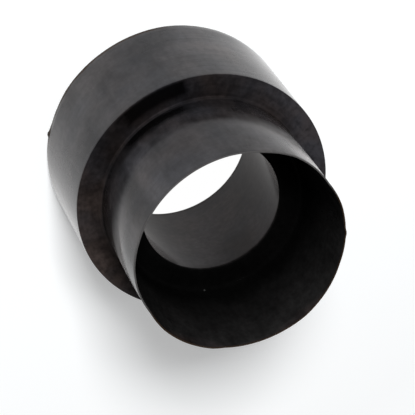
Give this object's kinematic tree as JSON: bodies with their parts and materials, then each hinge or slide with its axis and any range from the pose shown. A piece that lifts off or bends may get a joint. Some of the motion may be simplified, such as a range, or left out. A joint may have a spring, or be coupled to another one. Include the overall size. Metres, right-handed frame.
{
  "type": "drain adapter",
  "caption": "Stepped black rubber sleeve: a socket that thins to a fine lip, on a wider plug with a flat shoulder, an inner ledge and a tapering bore right through.",
  "frame": {"origin": "centre of the large end's rim, on the plane that the adapter stands on", "axes": "+Z along the axis, from the large end to the small end; X and Y lie in the rim's plane, and the round form gives them no direction of their own"},
  "size_m": [0.112, 0.112, 0.1037],
  "materials": {
    "rubber": "moulded black rubber, satin, with a faint grey bloom"
  },
  "bodies": {
    "root": {"adapter_body": "rubber"}
  },
  "joints": []
}
